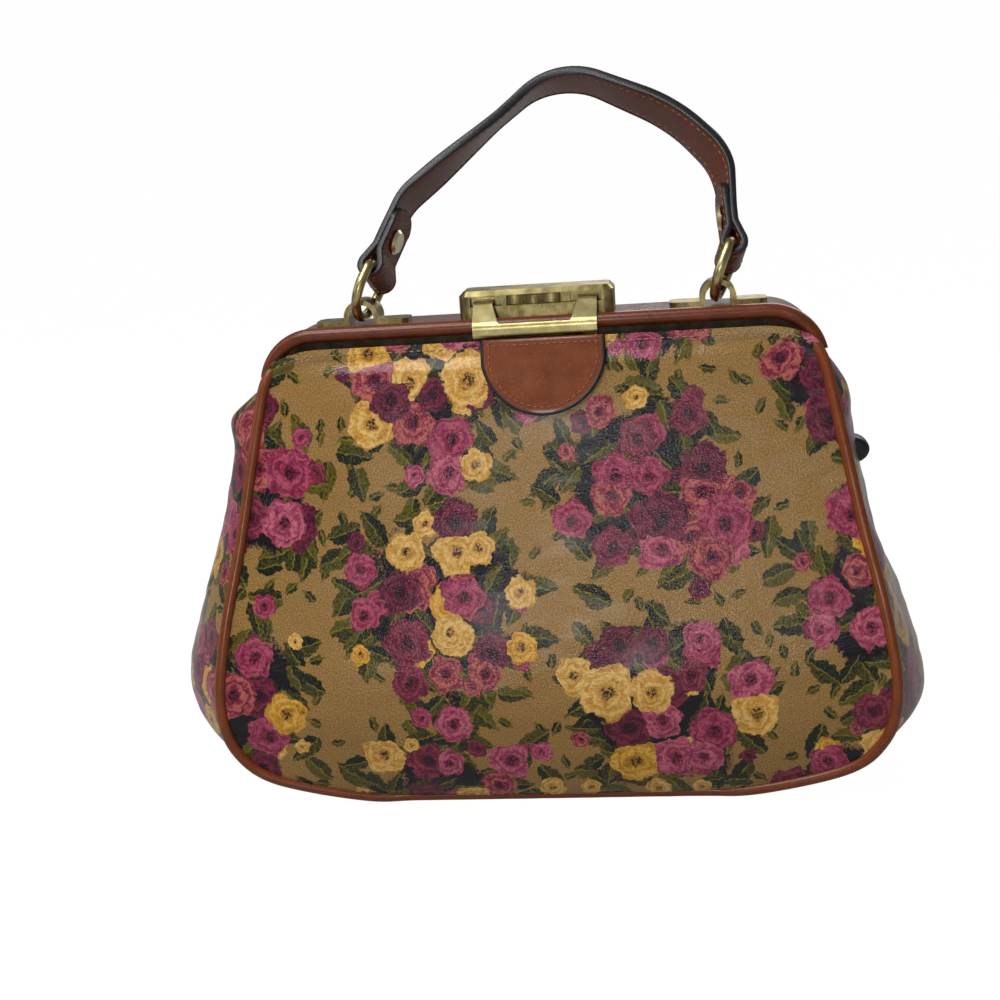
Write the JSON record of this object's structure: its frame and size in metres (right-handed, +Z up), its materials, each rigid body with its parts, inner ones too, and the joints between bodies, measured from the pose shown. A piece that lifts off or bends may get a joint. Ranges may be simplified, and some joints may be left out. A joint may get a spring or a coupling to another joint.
{
  "type": "carpet bag",
  "caption": "Doctor style handbag of flower printed leather, with a hinged clasp frame that opens at the top and a folded strap handle on rings that leans back and forward.",
  "frame": {"origin": "on the floor under the middle of the base", "axes": "+X to the right seen from the clasp side, +Y to the back, +Z up"},
  "size_m": [0.3571, 0.14, 0.3294],
  "materials": {
    "printed_leather": "glossy printed leather with a large flower pattern and a fine grain",
    "chestnut_leather": "glossy chestnut leather",
    "lining_leather": "dark reddish brown creased leather",
    "cover_leather": "very glossy smooth brown leather",
    "lining_cloth": "plain woven cotton",
    "stiff_board": "plain pressed board",
    "antique_brass": "brushed antique brass, worn bright on the edges",
    "frame_steel": "dull plated steel",
    "edge_paint": "thick dark paint on cut leather edges",
    "stitch_thread": "waxed orange brown thread"
  },
  "bodies": {
    "bag": {"front_panel": "printed_leather", "rear_panel": "printed_leather", "left_gusset": "printed_leather", "right_gusset": "printed_leather", "base_panel": "printed_leather", "base_board": "stiff_board", "lining": "lining_cloth", "front_piping": "chestnut_leather", "rear_piping": "chestnut_leather", "right_keeper": "chestnut_leather", "rear_jaw": "frame_steel", "frame_cover": "cover_leather", "rear_facing": "chestnut_leather", "left_hinge_pin": "frame_steel", "right_hinge_pin": "frame_steel", "lock_lower_shell": "antique_brass", "lock_upper_shell": "antique_brass", "lock_rivets": "frame_steel", "left_bridge": "antique_brass", "right_bridge": "antique_brass", "left_bridge_rivets": "frame_steel", "right_bridge_rivets": "frame_steel"},
    "front_frame": {"front_jaw": "frame_steel", "front_roll": "chestnut_leather", "front_facing": "chestnut_leather", "hasp": "antique_brass", "clasp_tab": "chestnut_leather"},
    "lock_slider": {"lock_slider": "antique_brass", "latch_bar": "frame_steel"},
    "handle": {"left_ring": "antique_brass", "right_ring": "antique_brass", "strap_outer_leather": "chestnut_leather", "strap_lining_leather": "lining_leather", "left_strap_rivet": "antique_brass", "right_strap_rivet": "antique_brass"}
  },
  "joints": [
    {"name": "frame_open", "type": "hinge", "parent": "bag", "child": "front_frame", "pos_m": [0, 0, 0.18], "axis": [1, 0, 0], "range_deg": [0, 60], "deforming": ["front_panel", "front_piping", "left_gusset", "right_gusset", "lining"]},
    {"name": "lock_slide", "type": "slide", "parent": "bag", "child": "lock_slider", "axis": [1, 0, 0], "range_m": [0, 0.005], "stiffness_N_per_m": 100},
    {"name": "handle_lean", "type": "hinge", "parent": "bag", "child": "handle", "pos_m": [0, 0, 0.2329], "axis": [1, 0, 0], "range_deg": [-7, 75]}
  ]
}
